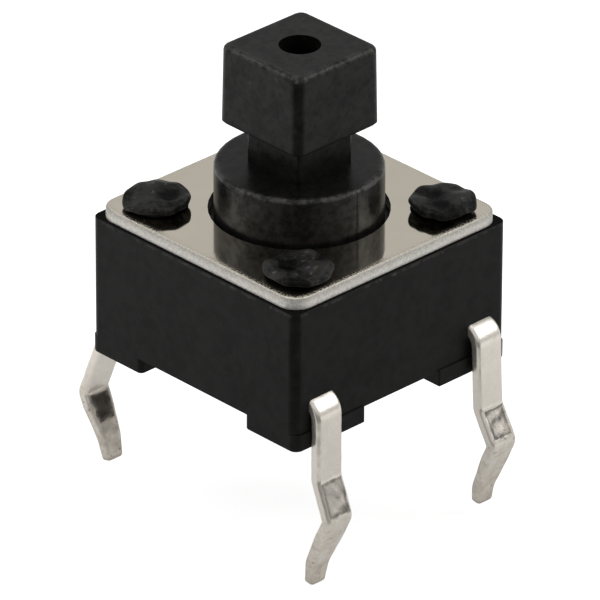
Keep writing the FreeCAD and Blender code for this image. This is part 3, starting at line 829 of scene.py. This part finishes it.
# the four terminals: a rounded strip carried along its bent line
strip = {
    "middle": 0.99,            # height of the strip's middle line inside the housing
    "width": 0.7,
    "thickness": 0.27,
    "tipWidth": 0.42,
    "taper": 1.25,             # the tip narrows over this length
    "edge": 0.09,              # rounding of the strip's long edges
    "corner": 8,               # points round a corner
    "crown": 0.05,             # the flat sides bulge by this share of the half thickness
    "flat": 15,                # points across a flat side
    "tipEdge": 0.08,
    "start": 2.6,              # where the strip begins, inside the housing
    "wall": 3.0,
    "radii": (0.37, 0.35, 0.2, 0.8),
    "step": 0.022,             # between sections
    "lumps": 0.0025,           # how uneven the skin is
    "lumpWaves": (9, 0.25, 1.1),   # how many waves, the shortest and the longest
    "bodyRow": 2.25,
    "markBorder": 0.07,        # the tool's mark is darkest along its border, fading inwards, as painted shade
    "markRim": 1.3,            # over this width, and full for 0.3 of it
    "markFade": 0.03,          # softness of the outline itself
    "markDepth": 0.006,
    "ragged": 0.012,           # how far the mark's outline strays
    "raggedWaves": (9, 0.12, 0.45),
    "patchy": 0.9,             # how unevenly a pale mark is spread
    "tipDark": 0.5,
    "tipRim": 1.5,             # the tip's end is dark over its edge and half as much again
}

# each strip frame with the name of its inner copy, by the row of its legs
frames = {
    -1: ("terminal_frame_centre", "centreFrameInner"),
    1: ("terminal_frame_outer", "outerFrameInner"),
}

# line: x outwards from the wall and z, of the shoulder, the straight run's end, the kink, the
# bend above the tip, and the tip.  mark: the run with the bending tool's mark, the face that
# it is on, how dark its middle and its border are painted as shade and reflection, where along
# the run it starts and ends, and how far it keeps from the strip's edges.
legs = {
    "legPlusFront": {
        "side": 1, "row": -1, "mark": (1, 1, 0.36, 0.85, 0.0, 1.0, 0.07),
        "line": [(0.15, 0.99), (0.15, -0.75), (0.48, -1.6), (-0.09, -2.8), (-0.17, -3.32)]},
    "legPlusBack": {
        "side": 1, "row": 1, "mark": (1, 1, 0.55, 0.9, 0.0, 1.0, 0.09),
        "line": [(0.18, 0.99), (0.26, -0.78), (0.67, -1.5), (0.17, -2.69), (0.12, -3.08)]},
    "legMinusFront": {
        "side": -1, "row": -1, "mark": (2, -1, 1.0, 0.85, 0.02, 0.72, 0.1),
        "line": [(0.16, 0.99), (0.26, -0.15), (0.8, -1.5), (0.34, -2.42), (0.21, -2.94)]},
    "legMinusBack": {
        "side": -1, "row": 1, "mark": (2, -1, 1.0, 0.85, 0.02, 0.7, 0.1),
        "line": [(0.16, 0.99), (0.22, -0.6), (0.62, -1.52), (0.12, -2.72), (0.05, -3.12)]},
}


def bentLine(corners, radii, step, finer=20):
    # Straight runs joined by round bends.  The heading is constant on a run and turns evenly
    # along a bend, so it is a chain of straight lines over length; the place is the running
    # sum of the heading's cosine and sine, over hops that are finer than the step.
    run = np.diff(corners, axis=0)
    heading = np.unwrap(np.arctan2(run[:, 1], run[:, 0]))
    turn = np.abs(np.diff(heading))
    cut = radii * np.tan(turn / 2)
    straight = np.hypot(run[:, 0], run[:, 1]) - np.append(0, cut) - np.append(cut, 0)
    lengths = np.empty(len(straight) + len(turn))
    lengths[0::2] = straight
    lengths[1::2] = radii * turn
    breaks = np.append(0, np.cumsum(lengths))
    fine = np.linspace(0, breaks[-1], int(breaks[-1] / step) * finer + 1)
    angle = np.interp(fine, breaks, np.repeat(heading, 2))
    middle = (angle[1:] + angle[:-1]) / 2
    hops = np.stack([np.cos(middle), np.sin(middle)], axis=1) * (fine[1] - fine[0])
    line = corners[0] + np.concatenate([np.zeros((1, 2)), np.cumsum(hops, axis=0)])
    return fine[::finer], line[::finer], angle[::finer], breaks


def roundedSection(flat, corner):
    # A rectangle's corners and the outward direction at each point round it, as complex
    # numbers: along a side the point slides, at a corner only the direction turns, and every
    # side is the one before turned by a right angle.
    turn = np.linspace(0, math.pi / 2, corner)[1:-1]
    core = np.append(1 + 1j * np.linspace(-1, 1, flat), np.full(corner - 2, 1 + 1j))
    out = np.append(np.ones(flat), np.exp(1j * turn))
    return np.concatenate([np.stack([core, out]) * 1j ** side for side in range(4)], axis=1)


def makeLeg(name, leg, seed):
    # At each length the section is a rounded rectangle: its corners' middles, plus the edge
    # radius along the outward direction.  The last rings draw in along a quarter of a circle.
    chance = np.random.default_rng(seed)
    corners = np.array([(strip["start"], strip["middle"])]
                       + [(strip["wall"] + x, z) for x, z in leg["line"]])
    length, line, angle, breaks = bentLine(corners, np.array(strip["radii"]), strip["step"])
    length, angle = length[:, None], angle[:, None]
    core, out = roundedSection(strip["flat"], strip["corner"])
    fromTip = length[-1] - length
    widen = np.clip(fromTip / strip["taper"], 0, 1)
    halfWidth = (strip["tipWidth"] + (strip["width"] - strip["tipWidth"]) * widen) / 2
    draw = np.clip(1 - fromTip / strip["tipEdge"], 0, 1)
    inset = strip["tipEdge"] * (1 - np.sqrt(1 - draw ** 2))
    edge = strip["edge"]
    across = core.real * (halfWidth - edge) + out.real * (edge - inset)
    deep = core.imag * (strip["thickness"] / 2 - edge) + out.imag * (edge - inset)
    deep = deep * (1 - strip["crown"] * (across / halfWidth) ** 2)
    swell = strip["lumps"] * (waves(chance, length, across, *strip["lumpWaves"]) - 1.0)
    across = across + out.real * swell
    deep = deep + out.imag * swell
    # the mark is a window along the run and across the face, a little sunk
    run, face, middle, rim, begin, end, keep = leg["mark"]
    first, last = breaks[2 * run + 2], breaks[2 * run + 3]
    along = (length - first) / (last - first)
    inAlong = np.minimum(along - begin, end - along) * (last - first)
    inAcross = halfWidth - keep - np.abs(across)
    ragged = waves(chance, length, across, *strip["raggedWaves"])
    within = np.minimum(inAlong, inAcross) + strip["ragged"] * ragged
    inside = np.clip(within / strip["markFade"] + 0.5, 0, 1) * (core.imag * face > 0.5)
    border = np.clip(strip["markRim"] - within / strip["markBorder"], 0, 1)
    patchy = middle * (1 + strip["patchy"] * ragged * (1 - middle))
    mark = inside * np.clip(patchy + (rim - patchy) * border, 0, 1)
    # the sheared end of the tip is dark too
    tip = np.clip(strip["tipRim"] - fromTip / strip["tipEdge"], 0, 1)
    mark = np.maximum(mark, strip["tipDark"] * tip)
    deep = deep - strip["markDepth"] * face * inside
    surface = surfaceOf(
        leg["side"] * (line[:, :1] - np.sin(angle) * deep),
        leg["row"] * strip["bodyRow"] + across, line[:, 1:] + np.cos(angle) * deep)
    if leg["side"] < 0:
        surface, mark = surface[:, ::-1], mark[:, ::-1]
    piece = addPiece(name, *closedTube(surface), tinPlate, "plated_terminal")
    addMask(piece, "pressed", np.append(mark, (0, 0)))
    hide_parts(frames[leg["row"]][0])


for seed, (name, leg) in enumerate(legs.items()):
    makeLeg(name, leg, seed)
print("terminals bent")


cuts = {
    "merge": 0.0005 * mm,      # points this near to each other become one
    "slack": 0.00001 * mm,
    "overlap": 0.02,           # mm; the cut frames reach this far into the legs,
    "clear": 0.005,            # and the housing this far above the cover
}


def makeCutCopy(name, node, planes):
    # a merged copy of a frame node without what lies beyond the planes, with the cuts closed
    piece = nodes[node].copy()
    piece.data = nodes[node].data.copy()
    piece.name = piece.data.name = name
    piece.hide_render = piece.hide_viewport = False
    bpy.context.scene.collection.objects.link(piece)
    shape = bmesh.new()
    shape.from_mesh(piece.data)
    bmesh.ops.remove_doubles(shape, verts=shape.verts, dist=cuts["merge"])
    for point, outward in planes:
        everything = shape.verts[:] + shape.edges[:] + shape.faces[:]
        cut = bmesh.ops.bisect_plane(
            shape, geom=everything, dist=cuts["slack"], plane_co=Vector(point) * mm,
            plane_no=outward, clear_outer=True)["geom_cut"]
        rim = [item for item in cut if isinstance(item, bmesh.types.BMEdge)]
        bmesh.ops.holes_fill(shape, edges=rim)
    shape.to_mesh(piece.data)
    shape.free()
    piece.data.shade_flat()
    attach(piece, "housing")
    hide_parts(node)


innerReach = strip["start"] + cuts["overlap"]
innerPlanes = [((side * innerReach, 0, 0), (side, 0, 0)) for side in (-1, 1)]
for node, name in frames.values():
    makeCutCopy(name, node, innerPlanes)
print("inner frames cut")


# the snap dome under the plunger
dome = {
    "reach": 1.95,
    "rim": 0.22,               # width of the flat rim
    "rise": 0.33,
    "thickness": 0.06,
    "around": 96,
    "rings": (25, 9),          # along each side, and round the rim's edge
    "keep": 0.36,              # of its height at the end of the travel
}


def makeDome():
    # A cap of a sphere over a flat rim, in thin sheet.  The skin runs out under the cap, where
    # the height is the sphere's, round the rim's edge on half a circle, and back over the top
    # on a sphere that is larger by the thickness.
    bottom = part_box("snap_dome")[0].z / mm
    span = dome["reach"] - dome["rim"]
    inner = (span ** 2 + dome["rise"] ** 2) / (2 * dome["rise"])
    outer = inner + dome["thickness"]
    sunk = inner - dome["rise"]
    half = dome["thickness"] / 2
    along, bend = dome["rings"]
    under = np.linspace(0, span, along)[1:]
    over = np.linspace(math.sqrt(outer ** 2 - (sunk + dome["thickness"]) ** 2), 0, along)[:-1]
    bulge = np.linspace(-math.pi / 2, math.pi / 2, bend)
    out = np.concatenate([under, dome["reach"] - half + half * np.cos(bulge), over])[:, None]
    up = np.concatenate([
        np.sqrt(inner ** 2 - under ** 2) - sunk, half + half * np.sin(bulge),
        np.sqrt(outer ** 2 - over ** 2) - sunk])[:, None]
    turn = np.linspace(0, math.tau, dome["around"], endpoint=False)
    surface = surfaceOf(out * np.cos(turn), out * np.sin(turn), bottom + up)
    piece = addPiece("snapDome", *closedTube(surface), springSteel, "dome_steel")
    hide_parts("snap_dome")
    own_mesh(piece)


makeDome()
print("snap dome pressed")


# the housing, and the four stakes melted over its posts
stakes = {
    "plate": 3.39,             # the cover's upper face
    "stem": 0.5,               # the stem's radius where it leaves the cover
    "radius": 0.7,
    "crown": 0.035,            # the middle stands this much above the rim
    "brim": 0.14,              # thickness of the rim
    "sunk": 0.02,              # the skin starts this far below the plate,
    "leastLip": 0.02,          # and the rim's lower edge is at least this far above it
    "flare": (1.5, 0.7),       # powers of the way from the stem out and up to the lip
    "rimRound": 1.1,           # the rim's bulge over half its thickness,
    "rimMost": 0.12,           # and at most this
    "rimWave": 0.05,           # how uneven the outline is
    "rimOrders": (2, 11),      # from how many waves a turn, and up to below how many
    "rimFall": 0.8,            # power by which the shorter ones are lower
    "lumps": 0.016,            # how uneven the top is
    "lumpWaves": (7, 0.3, 0.8),
    "settle": 0.12,            # the rim's height goes over into the top's by this share
    "relief": 0.15,            # height between a dent's bottom and a lobe's top
    "broad": 0.3,              # lobes wider than this don't change the top's painted light and shade
    "around": 128,
    "rings": (7, 17, 31),      # under the lip, round the rim, and over the top
}

# each stake's middle, its height above the cover, and its lobes and dents: x and y from the
# middle, the size, and the height
stakeShapes = {
    "stakeMinusFront": {
        "x": -2.01, "y": -2.09, "height": 0.27,
        "lobes": [(-0.27, -0.57, 0.42, -0.1), (-0.25, 0.24, 0.28, 0.075),
                  (0.23, 0.19, 0.22, -0.085), (0.45, 0.33, 0.25, 0.035),
                  (-0.1, -0.3, 0.24, 0.03), (0.3, -0.35, 0.2, 0.02)]},
    "stakePlusFront": {
        "x": 2.09, "y": -2.03, "height": 0.19,
        "lobes": [(-0.17, -0.18, 0.2, -0.055), (0.36, 0.25, 0.25, 0.07), (-0.26, 0.6, 0.2, 0.055),
                  (-0.49, -0.36, 0.2, 0.055), (-0.03, -0.6, 0.2, 0.05), (0.5, -0.35, 0.2, -0.02)]},
    "stakePlusBack": {
        "x": 2.1, "y": 2.03, "height": 0.26,
        "lobes": [(-0.27, -0.5, 0.22, 0.065), (-0.2, -0.07, 0.19, -0.085),
                  (0.22, -0.24, 0.17, -0.085), (0.28, 0.22, 0.24, 0.08),
                  (0.54, -0.31, 0.2, -0.04), (0.63, 0.36, 0.25, -0.06), (-0.29, 0.42, 0.25, 0.03)]},
    "stakeMinusBack": {
        "x": -2.05, "y": 2.05, "height": 0.24,
        "lobes": [(0.1, 0.05, 0.24, -0.055), (-0.4, 0.3, 0.22, 0.04), (0.4, -0.25, 0.18, 0.04)]},
}


def makeStake(name, shape, seed):
    # The top's height over the plate is a low dome plus lobes, each a bell curve of the
    # distance from its middle, plus a sum of sines.  The skin runs from the stem out to the
    # lip, round the rim on half an ellipse up to that height, and in over the top.
    chance = np.random.default_rng(seed)
    turn = np.linspace(0, math.tau, stakes["around"], endpoint=False)
    order = np.arange(*stakes["rimOrders"])
    size = chance.normal(0, 1, (2, len(order))) / order ** stakes["rimFall"]
    angle = turn[:, None] * order
    wave = (size[0] * np.cos(angle) + size[1] * np.sin(angle)).sum(axis=1)
    radius = stakes["radius"] * (1 + stakes["rimWave"] * wave / np.abs(wave).max())
    seen = chance.bit_generator.state

    def lobed(x, y, height, widest):
        for lobeX, lobeY, width, rise in shape["lobes"]:
            if width < widest:
                bell = np.exp(-((x - lobeX) ** 2 + (y - lobeY) ** 2) / width ** 2)
                height = height + rise * bell
        return height

    def top(out):
        x, y = out * np.cos(turn), out * np.sin(turn)
        near = 1 - (x ** 2 + y ** 2) / stakes["radius"] ** 2
        chance.bit_generator.state = seen
        lumps = stakes["lumps"] * waves(chance, x, y, *stakes["lumpWaves"])
        return lobed(x, y, shape["height"] + stakes["crown"] * near, math.inf) + lumps

    stem, (below, bend, above) = stakes["stem"], stakes["rings"]
    rimTop = top(radius)
    lip = np.maximum(rimTop - stakes["brim"], stakes["leastLip"])
    half = (rimTop - lip) / 2
    edge = np.minimum(half * stakes["rimRound"], stakes["rimMost"])
    under = np.linspace(0, 1, below)[:-1, None]
    bulge = np.linspace(-math.pi / 2, math.pi / 2, bend)[:, None]
    inward = np.linspace(1, 0, above)[1:-1, None]
    flareOut, flareUp = stakes["flare"]
    overOut = (radius - edge) * inward
    settle = np.clip((1 - inward) / stakes["settle"], 0, 1)
    out = np.concatenate([
        stem + (radius - edge - stem) * under ** flareOut,
        radius - edge + edge * np.cos(bulge), overOut])
    up = np.concatenate([
        (lip + stakes["sunk"]) * under ** flareUp - stakes["sunk"],
        lip + half + half * np.sin(bulge), rimTop + (top(overOut) - rimTop) * settle])
    x, y = out * np.cos(turn), out * np.sin(turn)
    surface = surfaceOf(shape["x"] + x, shape["y"] + y, stakes["plate"] + up)
    piece = addPiece(name, *closedTube(surface), stakeBlack, "housing_plastic")
    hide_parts("base_housing")
    # how high the narrow lobes and dents raise each point, which the material turns into painted
    # light and shade
    reliefShading = np.clip(lobed(x, y, 0, stakes["broad"]) / stakes["relief"] + 0.5, 0, 1)
    addMask(piece, "reliefShading", np.append(reliefShading, reliefShading[[0, -1]].mean(axis=1)))


for seed, (name, shape) in enumerate(stakeShapes.items()):
    makeStake(name, shape, 20 + seed)
stakePlane = [((0, 0, stakes["plate"] + cuts["clear"]), (0, 0, 1))]
makeCutCopy("housingBody", "base_housing", stakePlane)
print("housing cut and stakes melted")
